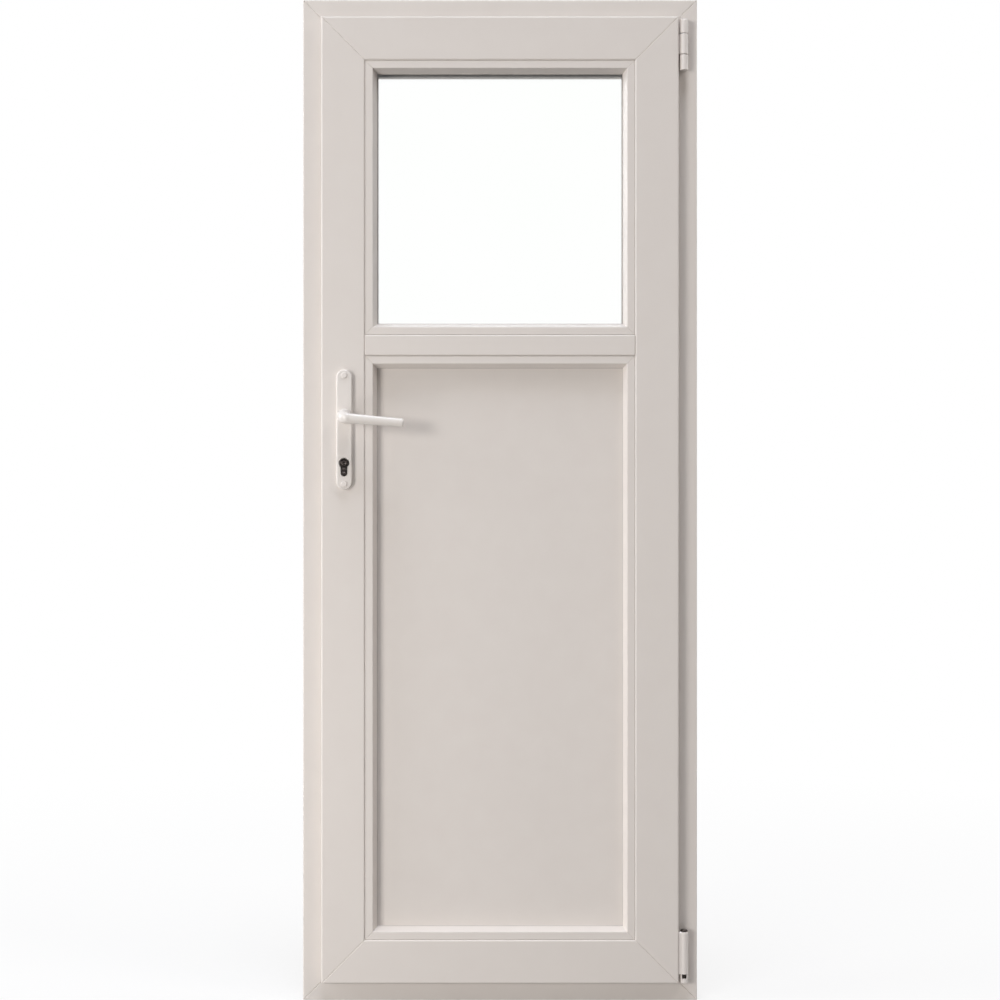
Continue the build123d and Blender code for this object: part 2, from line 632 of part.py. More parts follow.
def strike_plate():
    wall_x = -FRAME_WIDTH / 2 + FRAME_FACE
    places = bolt_places()
    middle_z = sum(z for z, height in places) / len(places)
    low = (wall_x, fitting_y - STRIKE_WIDTH / 2, middle_z - STRIKE_LENGTH / 2)
    high = (wall_x + STRIKE_THICKNESS, fitting_y + STRIKE_WIDTH / 2, middle_z + STRIKE_LENGTH / 2)
    return span(low, high) - [strike_window(z, height, 0) for z, height in places]


def lock_parts():
    half = FACEPLATE_WIDTH / 2
    low = (lock_edge_x, fitting_y - half, leaf_bottom_z + FACEPLATE_END_GAP)
    high = (lock_edge_x + FACEPLATE_THICKNESS, fitting_y + half, leaf_top_z - FACEPLATE_END_GAP)
    faceplate = span(low, high)
    places = bolt_places()
    faceplate -= [bolt(z, height + 2 * BOLT_FIT, 0, BOLT_FIT) for z, height in places]
    latch_z, latch_height = places[0]
    dead_z, dead_height = places[1]
    latch = bolt(latch_z, latch_height, LATCH_PROUD, 0)
    nose = latch.edges().filter_by(Axis.Z).group_by(Axis.X)[0].sort_by(Axis.Y)[0]
    latch = chamfer(nose, LATCH_PROUD, BOLT_THICKNESS / 2)
    room_end = leaf_room_y - PLATE_THICKNESS - CYLINDER_PROUD
    outer_end = leaf_outer_y + PLATE_THICKNESS + CYLINDER_PROUD
    body = extrude(room_plane(handle_x, outer_end, cylinder_z) * cylinder_outline(0),
                   amount=outer_end - room_end)
    plugs = []
    for end_y, outward in ((room_end, -1), (outer_end, 1)):
        face = room_plane(handle_x, end_y, cylinder_z)
        body -= extrude(face * Circle(PLUG_DIAMETER / 2 + RUNNING_FIT), amount=outward * PLUG_DEPTH)
        plug = extrude(face * Circle(PLUG_DIAMETER / 2), amount=outward * PLUG_DEPTH)
        rims = plug.edges().filter_by(GeomType.CIRCLE).sort_by(Axis.Y)
        plug = chamfer(rims[0 if outward < 0 else -1], PLUG_RIM_BEVEL)
        plugs.append(plug - extrude(face * Rectangle(KEYWAY_WIDTH, KEYWAY_HEIGHT),
                                    amount=outward * KEYWAY_DEPTH))
    return {
        "lock_cylinder": body,
        "cylinder_plugs": Compound(children=plugs),
        "lock_faceplate": faceplate,
        "latch_bolt": latch,
        "dead_bolt": bolt(dead_z, dead_height, 0, 0),
    }


# Hinges

def barrel(bottom_z, height, top_radius):
    """Length of hinge barrel with softened rims, or a dome at its top."""
    body = Pos(hinge_x, hinge_y, bottom_z + height / 2) * Cylinder(BARREL_DIAMETER / 2, height)
    body = fillet(body.edges().filter_by(GeomType.CIRCLE).sort_by(Axis.Z)[-1], top_radius)
    return fillet(body.edges().filter_by(GeomType.CIRCLE).sort_by(Axis.Z)[0], KNUCKLE_EDGE)


def pin_hole(bottom_z, top_z, radius):
    middle_z = (bottom_z + top_z) / 2
    return Pos(hinge_x, hinge_y, middle_z) * Cylinder(radius, top_z - bottom_z)


def frame_knuckle(bottom_z, height, top_radius=KNUCKLE_EDGE):
    """Barrel with a neck behind it, back to the face of the hinge jamb."""
    half = HINGE_NECK_WIDTH / 2
    neck = span((hinge_x - half, hinge_y, bottom_z + KNUCKLE_EDGE),
                (hinge_x + half, frame_room_y, bottom_z + height - top_radius))
    return barrel(bottom_z, height, top_radius) + neck


def upper_hinge():
    """Three knuckles on one pin: the outer two on the frame, the middle one on the leaf."""
    pin = HINGE_PIN_DIAMETER / 2
    pin_bottom = bottom_knuckle_z + HINGE_PIN_END
    pin_top = hinge_top_z - TOP_DOME - HINGE_PIN_END
    hole = pin_hole(pin_bottom, pin_top, pin + RUNNING_FIT)
    top = frame_knuckle(top_knuckle_z, TOP_KNUCKLE, TOP_DOME)
    bottom = frame_knuckle(bottom_knuckle_z, BOTTOM_KNUCKLE)
    arm = span((leaf_edge_x, hinge_y - HINGE_ARM_THICKNESS / 2, leaf_knuckle_z + KNUCKLE_EDGE),
               (hinge_x, hinge_y + HINGE_ARM_THICKNESS / 2, leaf_knuckle_z + LEAF_KNUCKLE - KNUCKLE_EDGE))
    return {
        "upper_hinge_frame_knuckles": Compound(children=[bottom - hole, top - hole]),
        "upper_hinge_pin": pin_hole(pin_bottom, pin_top, pin),
        "upper_hinge_leaf_knuckle": barrel(leaf_knuckle_z, LEAF_KNUCKLE, KNUCKLE_EDGE) + arm - hole,
    }


def sleeve_outline():
    """Round barrel with a flat wing back to the leaf's edge."""
    wing_front = hinge_y - BARREL_DIAMETER / 2 + SLEEVE_WING_SETBACK
    wing_middle = wing_front + SLEEVE_WING_THICKNESS / 2
    width = hinge_x - leaf_edge_x
    wing = Pos(leaf_edge_x + width / 2, wing_middle) * Rectangle(width, SLEEVE_WING_THICKNESS)
    return Pos(hinge_x, hinge_y) * Circle(BARREL_DIAMETER / 2) + wing


def lower_hinge():
    """Pivot: a cup and pin on the frame, and a long sleeve on the leaf that turns on the pin."""
    pin = HINGE_PIN_DIAMETER / 2
    cup_top = cup_z + CUP_HEIGHT
    sleeve_top = sleeve_z + SLEEVE_HEIGHT
    pin_bottom = cup_z + HINGE_PIN_END
    pin_top = sleeve_top - SLEEVE_BEVEL - HINGE_PIN_END
    hole = pin_hole(pin_bottom, pin_top, pin + RUNNING_FIT)
    cup = frame_knuckle(cup_z, CUP_HEIGHT) - pin_hole(cup_z + CUP_FLOOR, cup_top, CUP_BORE / 2)
    cup -= span((hinge_x - CUP_NOTCH_WIDTH / 2, hinge_y - BARREL_DIAMETER, cup_z + CUP_FLOOR),
                (hinge_x + CUP_NOTCH_WIDTH / 2, hinge_y, cup_top))
    sleeve = extrude(Pos(0, 0, sleeve_z) * sleeve_outline(), amount=SLEEVE_HEIGHT)
    sleeve = chamfer(sleeve.faces().sort_by(Axis.Z)[-1].edges(), SLEEVE_BEVEL)
    core = Pos(hinge_x, hinge_y, sleeve_top + CORE_RISE / 2) * Cylinder(CORE_DIAMETER / 2, CORE_RISE)
    core = fillet(core.edges().sort_by(Axis.Z)[-1], CORE_DOME)
    return {
        "lower_hinge_cup": cup - hole,
        "lower_hinge_pin": pin_hole(pin_bottom, pin_top, pin),
        "lower_hinge_sleeve": sleeve - hole,
        "lower_hinge_core": core,
    }


def door_parts():
    return {
        **frame_parts(),
        **leaf_parts(),
        **glazing_parts(),
        **handle_parts(),
        **lock_parts(),
        **upper_hinge(),
        **lower_hinge(),
    }


os.makedirs("parts", exist_ok=True)
for name, part in door_parts().items():
    export_step(part, os.path.join("parts", f"{name}.step"))
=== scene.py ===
# %% [markdown]
# # A half-glazed PVC door in its frame
# The door is a white plastic leaf with a pane of clear glass over a plain panel, hung in a frame of four mitred
# bars. Its shapes come ready from CAD. This lesson gives each of them the finish of the real material, adds the
# small fixings, and lights the whole as in a plain studio picture. Lengths are in metres, and in millimetres where
# a name ends in MM. Bright spots that light makes on its way through glass, called caustics, are switched off:
# they would bleach the slopes of the beads round the pane.

# %% Load the door
import math
import bpy
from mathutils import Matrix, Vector


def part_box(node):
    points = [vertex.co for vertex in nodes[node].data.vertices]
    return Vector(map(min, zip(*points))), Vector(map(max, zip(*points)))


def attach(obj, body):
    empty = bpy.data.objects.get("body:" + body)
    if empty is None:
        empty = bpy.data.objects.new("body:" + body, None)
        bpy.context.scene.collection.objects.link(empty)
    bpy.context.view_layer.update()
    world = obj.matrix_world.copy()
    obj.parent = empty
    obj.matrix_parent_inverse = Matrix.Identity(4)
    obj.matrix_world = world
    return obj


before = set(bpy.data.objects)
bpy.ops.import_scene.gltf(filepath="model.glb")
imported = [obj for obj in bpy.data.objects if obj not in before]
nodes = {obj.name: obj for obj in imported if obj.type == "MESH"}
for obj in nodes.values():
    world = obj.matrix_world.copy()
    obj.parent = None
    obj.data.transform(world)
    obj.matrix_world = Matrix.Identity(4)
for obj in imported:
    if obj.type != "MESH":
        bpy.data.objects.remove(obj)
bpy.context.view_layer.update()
bpy.context.scene.view_settings.view_transform = "Standard"
bpy.context.scene.cycles.caustics_reflective = False
bpy.context.scene.cycles.caustics_refractive = False

# %% [markdown]
# ## Helpers for the finishes
# Colours are written as they would be picked from a picture, in sRGB hex. The shader works in linear light, so one
# function turns them. The next adds a node to a material, sets its values and links what feeds it, which keeps each
# finish down to a few readable lines. A third starts a material with what is the same all over its surface, and
# gives the place on the piece, which every pattern reads. The last turns the real size of a pattern into the scale
# that a texture takes.

# %% Colour and node helpers
def linear(hex_code):
    """Linear RGBA of an sRGB hex colour."""
    channels = [int(hex_code[i:i + 2], 16) / 255 for i in (1, 3, 5)]
    return [c / 12.92 if c <= 0.04045 else ((c + 0.055) / 1.055) ** 2.4 for c in channels] + [1.0]


def add_node(tree, kind, values=None, links=None, **settings):
    """Add a node with its settings, its socket values and the sockets that feed it."""
    made = tree.nodes.new(kind)
    for name, value in settings.items():
        setattr(made, name, value)
    for socket, value in (values or {}).items():
        made.inputs[socket].default_value = value
    for socket, source in (links or {}).items():
        tree.links.new(source, made.inputs[socket])
    return made


def start_finish(name, values):
    """A new material, its tree, its Principled surface with these values, and the place on the piece."""
    material = bpy.data.materials.new(name)
    material.use_nodes = True
    tree = material.node_tree
    shader = tree.nodes["Principled BSDF"]
    for socket, value in values.items():
        shader.inputs[socket].default_value = value
    return material, tree, shader, add_node(tree, "ShaderNodeTexCoord").outputs["Object"]


def per_metre(millimetres):
    """Texture scale that repeats a pattern about once in this many millimetres."""
    return 1000 / millimetres


print("middle grey in linear light:", [round(c, 3) for c in linear("#808080")])

# %% [markdown]
# ## Extruded PVC
# The bars of frame and leaf are rigid PVC, pushed hot through a die and cooled in a bath. That leaves a satin skin
# with very faint lines along the bar. Cut into the mesh they would take far too many faces, so they are relief: a
# noise stretched along the bar. Upright bars and bars that lie across get a finish each, as their lines run
# different ways. A second, wide noise shifts the white a little, as plastic does from place to place. Real die
# lines are under a millimetre apart: they are drawn at 3 mm so that they show at all.

# %% Extruded PVC for upright bars and for bars across
DIE_LINE_MM = 3
DIE_LINE_LENGTH_MM = 900
PVC_CLOUD_MM = 60
PVC_TONES = {"A": linear("#E4DDD7"), "B": linear("#E8E2DC")}


def extruded_pvc(name, stretch):
    """White extruded PVC whose die lines follow the bar."""
    material, tree, shader, place = start_finish(name, {"Roughness": 0.42, "IOR": 1.53})
    stretched = add_node(tree, "ShaderNodeMapping", {"Scale": stretch}, {"Vector": place})
    lines = add_node(
        tree, "ShaderNodeTexNoise", {"Scale": 1.0, "Detail": 3.0}, {"Vector": stretched.outputs[0]})
    cloud = add_node(
        tree, "ShaderNodeTexNoise", {"Scale": per_metre(PVC_CLOUD_MM), "Detail": 4.0}, {"Vector": place})
    white = add_node(tree, "ShaderNodeMix", PVC_TONES, {"Factor": cloud.outputs[0]}, data_type="RGBA")
    relief = add_node(
        tree, "ShaderNodeBump", {"Strength": 0.12, "Distance": 0.0002}, {"Height": lines.outputs[0]})
    tree.links.new(white.outputs["Result"], shader.inputs["Base Color"])
    tree.links.new(relief.outputs[0], shader.inputs["Normal"])
    return material


fine, long = per_metre(DIE_LINE_MM), per_metre(DIE_LINE_LENGTH_MM)
pvc_upright = extruded_pvc("extruded PVC upright", (fine, fine, long))
pvc_across = extruded_pvc("extruded PVC across", (long, fine, fine))
print("finishes:", pvc_upright.name, "and", pvc_across.name)

# %% Put the PVC on the bars and beads
upright_bars = [
    "frame_lock_jamb", "frame_hinge_jamb", "leaf_lock_stile", "leaf_hinge_stile",
    "glass_bead_left", "glass_bead_right", "panel_bead_left", "panel_bead_right",
]
across_bars = [
    "frame_head", "frame_sill", "leaf_top_rail", "leaf_bottom_rail", "leaf_mid_rail",
    "glass_bead_top", "glass_bead_bottom", "panel_bead_top", "panel_bead_bottom",
]


def coat(names, material):
    """Give these CAD nodes one finish."""
    for name in names:
        nodes[name].data.materials.clear()
        nodes[name].data.materials.append(material)
    return len(names)


print("upright:", coat(upright_bars, pvc_upright), "across:", coat(across_bars, pvc_across))

# %% [markdown]
# ## The lower panel
# The panel is a sandwich of two thin PVC sheets on foam. A rolled sheet has no die lines, but a shallow, wide
# unevenness where the foam was bonded, and a slightly softer gloss than the bars. A picture of such a sheet could
# carry it, but would repeat. Two noises don't: a wide one for the waviness and a fine one for the skin. The real
# skin is finer than a millimetre and is drawn at 4 mm.

# %% Rolled PVC sheet
PANEL_WAVE_MM = 45
SKIN_MM = 4
sheet, tree, shader, place = start_finish("rolled PVC sheet", {"Roughness": 0.46, "IOR": 1.53})
wave = add_node(
    tree, "ShaderNodeTexNoise", {"Scale": per_metre(PANEL_WAVE_MM), "Detail": 2.0}, {"Vector": place})
skin = add_node(tree, "ShaderNodeTexNoise", {"Scale": per_metre(SKIN_MM), "Detail": 2.0}, {"Vector": place})
white = add_node(tree, "ShaderNodeMix", PVC_TONES, {"Factor": wave.outputs[0]}, data_type="RGBA")
ripple = add_node(tree, "ShaderNodeBump", {"Strength": 0.08, "Distance": 0.002}, {"Height": wave.outputs[0]})
grain = add_node(
    tree, "ShaderNodeBump", {"Strength": 0.06, "Distance": 0.0003},
    {"Height": skin.outputs[0], "Normal": ripple.outputs[0]})
tree.links.new(white.outputs["Result"], shader.inputs["Base Color"])
tree.links.new(grain.outputs[0], shader.inputs["Normal"])
print("panel:", coat(["lower_panel"], sheet))

# %% [markdown]
# ## Powder-coated handles
# Plates and levers are cast aluminium under a baked white powder coat. The coat is glossier and a touch whiter than
# the PVC, and it flows into a soft orange peel, which only shows in the gloss. So a shallow relief is enough for it.
# The real peel is about a millimetre wide and is drawn at 2.5 mm. A wider noise shifts the white where the coat is
# thicker.

# %% Powder coat
PEEL_MM = 2.5
COAT_CLOUD_MM = 30
coated, tree, shader, place = start_finish("powder-coated aluminium", {"Roughness": 0.28, "IOR": 1.5})
peel = add_node(tree, "ShaderNodeTexNoise", {"Scale": per_metre(PEEL_MM), "Detail": 1.0}, {"Vector": place})
cloud = add_node(
    tree, "ShaderNodeTexNoise", {"Scale": per_metre(COAT_CLOUD_MM), "Detail": 2.0}, {"Vector": place})
white = add_node(
    tree, "ShaderNodeMix", {"A": linear("#E8E2DC"), "B": linear("#ECE7E2")},
    {"Factor": cloud.outputs[0]}, data_type="RGBA")
relief = add_node(tree, "ShaderNodeBump", {"Strength": 0.05, "Distance": 0.0004}, {"Height": peel.outputs[0]})
tree.links.new(white.outputs["Result"], shader.inputs["Base Color"])
tree.links.new(relief.outputs[0], shader.inputs["Normal"])
print("handle pieces:", coat(
    ["inside_handle_plate", "outside_handle_plate", "inside_lever", "outside_lever"], coated))

# %% [markdown]
# ## Moulded hinge covers and caps
# The hinge barrels, the caps over the plate's screws and the drain caps of the sill are moulded white plastic.
# Moulded pieces copy a polished tool, so they are as glossy as the handles, and they are the whitest of the door.
# One noise gives both their fine even grain and its tone. The real grain is some tenths of a millimetre wide and is
# drawn at 1.5 mm.

# %% Moulded plastic
GRAIN_MM = 1.5
moulded, tree, shader, place = start_finish("moulded white plastic", {"Roughness": 0.28, "IOR": 1.52})
grain = add_node(tree, "ShaderNodeTexNoise", {"Scale": per_metre(GRAIN_MM), "Detail": 2.0}, {"Vector": place})
white = add_node(
    tree, "ShaderNodeMix", {"A": linear("#ECE5DF"), "B": linear("#F0EAE5")},
    {"Factor": grain.outputs[0]}, data_type="RGBA")
relief = add_node(
    tree, "ShaderNodeBump", {"Strength": 0.04, "Distance": 0.0002}, {"Height": grain.outputs[0]})
tree.links.new(white.outputs["Result"], shader.inputs["Base Color"])
tree.links.new(relief.outputs[0], shader.inputs["Normal"])
print("moulded pieces:", coat(
    ["plate_screw_caps", "sill_drain_caps", "upper_hinge_frame_knuckles", "upper_hinge_leaf_knuckle",
     "lower_hinge_cup", "lower_hinge_sleeve"], moulded))

# %% [markdown]
# ## Clear glass
# The upper light is two panes of float glass with a sealed gap. Float glass is clear with a trace of green, and the
# heating that toughens it leaves a very slight roller wave, which bends reflections a little. A pane stops almost no
# light, but the shader counts glass as solid to lamps, and what lies between the panes would be black. So the rays
# that ask what a lamp reaches get a clear way through.

# %% Float glass
ROLLER_WAVE_MM = 250
glass, tree, shader, place = start_finish(
    "clear float glass", {"Roughness": 0.0, "IOR": 1.52, "Transmission Weight": 1.0})
wave = add_node(
    tree, "ShaderNodeTexNoise", {"Scale": per_metre(ROLLER_WAVE_MM), "Detail": 0.0}, {"Vector": place})
tint = add_node(
    tree, "ShaderNodeMix", {"A": linear("#FEFFFE"), "B": linear("#FFFFFF")},
    {"Factor": wave.outputs[0]}, data_type="RGBA")
relief = add_node(tree, "ShaderNodeBump", {"Strength": 0.02, "Distance": 0.002}, {"Height": wave.outputs[0]})
tree.links.new(tint.outputs["Result"], shader.inputs["Base Color"])
tree.links.new(relief.outputs[0], shader.inputs["Normal"])
path = add_node(tree, "ShaderNodeLightPath")
clear_way = add_node(tree, "ShaderNodeBsdfTransparent")
pane = add_node(
    tree, "ShaderNodeMixShader",
    links={0: path.outputs["Is Shadow Ray"], 1: shader.outputs[0], 2: clear_way.outputs[0]})
tree.links.new(pane.outputs[0], tree.nodes["Material Output"].inputs["Surface"])
print("panes:", coat(["glass_room_pane", "glass_outer_pane"], glass))

# %% [markdown]
# ## Grey seals
# The seals are soft extruded rubber in a light grey. Rubber scatters light in its skin and has next to no gloss, so
# its roughness is high, and one noise of fine pores breaks up its tone and its surface. Real pores are far finer
# than the 1.2 mm at which they are drawn.

# %% Seal rubber
PORE_MM = 1.2
rubber, tree, shader, place = start_finish("grey seal rubber", {"Roughness": 0.8, "IOR": 1.5})
pores = add_node(tree, "ShaderNodeTexNoise", {"Scale": per_metre(PORE_MM), "Detail": 3.0}, {"Vector": place})
grey = add_node(
    tree, "ShaderNodeMix", {"A": linear("#CFC9C4"), "B": linear("#DAD4CF")},
    {"Factor": pores.outputs[0]}, data_type="RGBA")
relief = add_node(tree, "ShaderNodeBump", {"Strength": 0.2, "Distance": 0.0002}, {"Height": pores.outputs[0]})
tree.links.new(grey.outputs["Result"], shader.inputs["Base Color"])
tree.links.new(relief.outputs[0], shader.inputs["Normal"])
print("seals:", coat(["frame_seal", "leaf_seal", "glass_seals", "panel_seals"], rubber))

# %% [markdown]
# ## The dark lock cylinder
# The cylinder is brass under black nickel. Its face is turned on a lathe, so it carries fine rings round the plug,
# which catch the light in bright arcs. Anisotropic gloss could give such arcs, but it follows a direction on the
# surface that these meshes don't have, so a ring wave gives them as relief. The mapping moves the pattern's middle
# to the plug. Real rings are tenths of a millimetre apart: they are drawn at 8 mm and deep, so that a glint shows
# from across a room. Smudges from handling vary the gloss.

# %% Black nickel
TURNED_RING_MM = 8
SMUDGE_MM = 6
WAVE_PERIOD = math.tau / 20  # distance from ring to ring of a wave texture whose scale is 1
plug_low, plug_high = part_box("cylinder_plugs")
plug_middle = (plug_low + plug_high) / 2
nickel, tree, shader, place = start_finish("turned black nickel", {"Metallic": 1.0})
centred = add_node(
    tree, "ShaderNodeMapping", {"Location": [-v for v in plug_middle]}, {"Vector": place})
rings = add_node(
    tree, "ShaderNodeTexWave", {"Scale": WAVE_PERIOD * per_metre(TURNED_RING_MM), "Distortion": 0.4},
    {"Vector": centred.outputs[0]}, wave_type="RINGS", rings_direction="Y")
smudge = add_node(
    tree, "ShaderNodeTexNoise", {"Scale": per_metre(SMUDGE_MM), "Detail": 3.0}, {"Vector": place})
gloss = add_node(
    tree, "ShaderNodeMapRange", {"To Min": 0.06, "To Max": 0.14}, {"Value": smudge.outputs[0]})
black = add_node(
    tree, "ShaderNodeMix", {"A": linear("#2C2826"), "B": linear("#48423F")},
    {"Factor": rings.outputs["Fac"]}, data_type="RGBA")
relief = add_node(
    tree, "ShaderNodeBump", {"Strength": 1.0, "Distance": 0.002}, {"Height": rings.outputs["Fac"]})
tree.links.new(black.outputs["Result"], shader.inputs["Base Color"])
tree.links.new(gloss.outputs[0], shader.inputs["Roughness"])
tree.links.new(relief.outputs[0], shader.inputs["Normal"])
print("dark pieces:", coat(
    ["lock_cylinder", "cylinder_plugs", "lower_hinge_core", "lower_hinge_pin"], nickel))

# %% [markdown]
# ## Steel of the lock
# Faceplate, bolts, strike plate and pins are rolled steel with a thin bright zinc plate. Rolling leaves lines along
# the strip, which spread reflections across it. They are stretched noise again, here in roughness and relief, and
# drawn at 1 mm, as the real ones are finer. A wider noise is the uneven tone of the zinc.

# %% Zinc-plated steel
ROLL_LINE_MM = 1.0
ROLL_LINE_LENGTH_MM = 60
SPANGLE_MM = 8
zinc, tree, shader, place = start_finish("zinc-plated steel", {"Metallic": 1.0})
fine, long = per_metre(ROLL_LINE_MM), per_metre(ROLL_LINE_LENGTH_MM)
stretched = add_node(tree, "ShaderNodeMapping", {"Scale": (fine, fine, long)}, {"Vector": place})
lines = add_node(tree, "ShaderNodeTexNoise", {"Scale": 1.0, "Detail": 3.0}, {"Vector": stretched.outputs[0]})
spangle = add_node(
    tree, "ShaderNodeTexNoise", {"Scale": per_metre(SPANGLE_MM), "Detail": 2.0}, {"Vector": place})
gloss = add_node(tree, "ShaderNodeMapRange", {"To Min": 0.28, "To Max": 0.5}, {"Value": lines.outputs[0]})
silver = add_node(
    tree, "ShaderNodeMix", {"A": linear("#B9BABB"), "B": linear("#CACAC8")},
    {"Factor": spangle.outputs[0]}, data_type="RGBA")
relief = add_node(tree, "ShaderNodeBump", {"Strength": 0.1, "Distance": 0.0001}, {"Height": lines.outputs[0]})
tree.links.new(silver.outputs["Result"], shader.inputs["Base Color"])
tree.links.new(gloss.outputs[0], shader.inputs["Roughness"])
tree.links.new(relief.outputs[0], shader.inputs["Normal"])
print("steel pieces:", coat(
    ["strike_plate", "upper_hinge_pin", "lock_faceplate", "latch_bolt", "dead_bolt", "handle_spindle"], zinc))

# %% [markdown]
# ## The spacer between the panes
# A folded aluminium tube holds the panes apart and shows as a thin silver line round the glass when it is seen from
# the side. It has the dull look of bare rolled aluminium. As so little of it shows, one noise in its tone and gloss
# is enough, without relief.

# %% Bare aluminium
ALUMINIUM_CLOUD_MM = 5
bare, tree, shader, place = start_finish("bare rolled aluminium", {"Metallic": 1.0})
cloud = add_node(
    tree, "ShaderNodeTexNoise", {"Scale": per_metre(ALUMINIUM_CLOUD_MM), "Detail": 3.0}, {"Vector": place})
gloss = add_node(tree, "ShaderNodeMapRange", {"To Min": 0.38, "To Max": 0.55}, {"Value": cloud.outputs[0]})
silver = add_node(
    tree, "ShaderNodeMix", {"A": linear("#C4C4C2"), "B": linear("#D2D2D0")},
    {"Factor": cloud.outputs[0]}, data_type="RGBA")
tree.links.new(silver.outputs["Result"], shader.inputs["Base Color"])
tree.links.new(gloss.outputs[0], shader.inputs["Roughness"])
print("spacer:", coat(["glass_spacer"], bare))

# %% [markdown]
# ## Screws of the lock
# Countersunk screws with a cross recess hold the lock's faceplate in the leaf's edge and the strike plate in the
# jamb. They show when the leaf is open. One screw is modelled: a short cylinder whose rim is bevelled, with the
# cross cut out of it by two small bars. The cross could be drawn as relief, but a real cut catches the light from
# every side. Everything is deselected first, because an operator acts on all that is selected.

# %% One screw head
SCREW_DIAMETER = 0.0078
SCREW_SIDES = 32
SCREW_RISE = 0.0007
SCREW_SINK = 0.0012
RIM_BEVEL = 0.0005
RIM_STEPS = 3
CROSS_LENGTH = 0.0046
CROSS_WIDTH = 0.0011
CROSS_DEPTH = 0.0011
FACES_UP = 0.9
screw_height = SCREW_RISE + SCREW_SINK
bpy.ops.object.select_all(action="DESELECT")
bpy.ops.mesh.primitive_cylinder_add(
    vertices=SCREW_SIDES, radius=SCREW_DIAMETER / 2, depth=screw_height,
    location=(0, 0, SCREW_RISE - screw_height / 2))
screw = bpy.context.object
bpy.ops.object.transform_apply(location=True)
bpy.ops.object.mode_set(mode="EDIT")
bpy.ops.mesh.select_all(action="DESELECT")
bpy.ops.object.mode_set(mode="OBJECT")
for face in screw.data.polygons:
    face.select = face.normal.z > FACES_UP
bpy.ops.object.mode_set(mode="EDIT")
bpy.ops.mesh.bevel(offset=RIM_BEVEL, segments=RIM_STEPS, affect="EDGES")
bpy.ops.object.mode_set(mode="OBJECT")
for across in ((CROSS_LENGTH, CROSS_WIDTH), (CROSS_WIDTH, CROSS_LENGTH)):
    bpy.ops.mesh.primitive_cube_add(size=1, location=(0, 0, SCREW_RISE))
    bar = bpy.context.object
    bar.scale = (*across, 2 * CROSS_DEPTH)
    bpy.ops.object.transform_apply(location=True, scale=True)
    bpy.context.view_layer.objects.active = screw
    cut = screw.modifiers.new("cross", "BOOLEAN")
    cut.object = bar
    cut.operation = "DIFFERENCE"
    bpy.ops.object.modifier_apply(modifier="cross")
    bpy.data.objects.remove(bar)
print("screw head faces:", len(screw.data.polygons))

# %% [markdown]
# ## Screws in their places
# Copies of the screw are put on the two plates: at the ends of both, and on the long faceplate also at its quarters
# and beside the bolts. Each is turned on from the last, as no two screws end up at the same angle. The screws of a
# plate are joined to one piece, which moves with what it holds.

# %% Set the screws
TURN_STEP = 0.7  # radians from one screw to the next
SMOOTH_ANGLE = math.radians(30)
END_INSET = 0.012
BOLT_INSET = 0.03


def set_screws(name, node, facing, heights, body):
    """Copies of the screw on the edge of a plate, joined to one piece that moves with the body."""
    low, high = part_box(node)
    face_x = low.x if facing < 0 else high.x
    bpy.ops.object.select_all(action="DESELECT")
    for number, height in enumerate(heights):
        copy = bpy.data.objects.new(name, screw.data.copy())
        bpy.context.scene.collection.objects.link(copy)
        copy.rotation_mode = "ZYX"
        copy.rotation_euler = (0, facing * math.pi / 2, number * TURN_STEP)
        copy.location = (face_x, (low.y + high.y) / 2, height)
        copy.select_set(True)
        bpy.context.view_layer.objects.active = copy
    bpy.ops.object.transform_apply(location=True, rotation=True)
    bpy.ops.object.join()
    made = bpy.context.object
    bpy.ops.object.shade_smooth_by_angle(angle=SMOOTH_ANGLE)
    made.data.materials.append(zinc)
    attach(made, body)
    return made


plate_low, plate_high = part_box("lock_faceplate")
strike_low, strike_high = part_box("strike_plate")
quarter = (plate_high.z - plate_low.z) / 4
leaf_screws = set_screws("faceplate_screws", "lock_faceplate", -1, (
    plate_low.z + END_INSET, plate_low.z + quarter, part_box("dead_bolt")[0].z - BOLT_INSET,
    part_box("latch_bolt")[1].z + BOLT_INSET, plate_high.z - quarter, plate_high.z - END_INSET), "leaf")
jamb_screws = set_screws(
    "strike_screws", "strike_plate", 1, (strike_low.z + END_INSET, strike_high.z - END_INSET), "frame")
bpy.data.objects.remove(screw)
print("screws:", leaf_screws.name, "and", jamb_screws.name)

# %% [markdown]
# ## Floor
# The picture is cut out on white, so the floor has to read as white and still take the door's shadow. More light on
# it would make it white, but would bleach the door too. So rays from the camera, and those that glass or gloss send
# on, see a white glow over the pale floor. Round the door the lit floor shows through the glow by a quarter, so that
# the shadow is kept, and far off the glow is all. Rays that a matt surface has scattered count as light on the door
# and see a plain floor of a middle tone, as the picture was lit with little from below.

# %% Pale floor
FLOOR_SIZE = 400
GLOW_NEAR = 0.75  # share of the glow round the door
SHADOW_START = 0.5
SHADOW_REACH = 3.0
EYE_RAYS = ("Is Camera Ray", "Is Glossy Ray", "Is Transmission Ray")


def seen_by_eye(tree):
    """1 for rays from the camera, also by way of gloss and glass, and 0 for light on the door."""
    path = add_node(tree, "ShaderNodeLightPath")
    seen = path.outputs[EYE_RAYS[0]]
    for kind in EYE_RAYS[1:]:
        seen = add_node(
            tree, "ShaderNodeMath", links={0: seen, 1: path.outputs[kind]}, operation="MAXIMUM").outputs[0]
    return seen


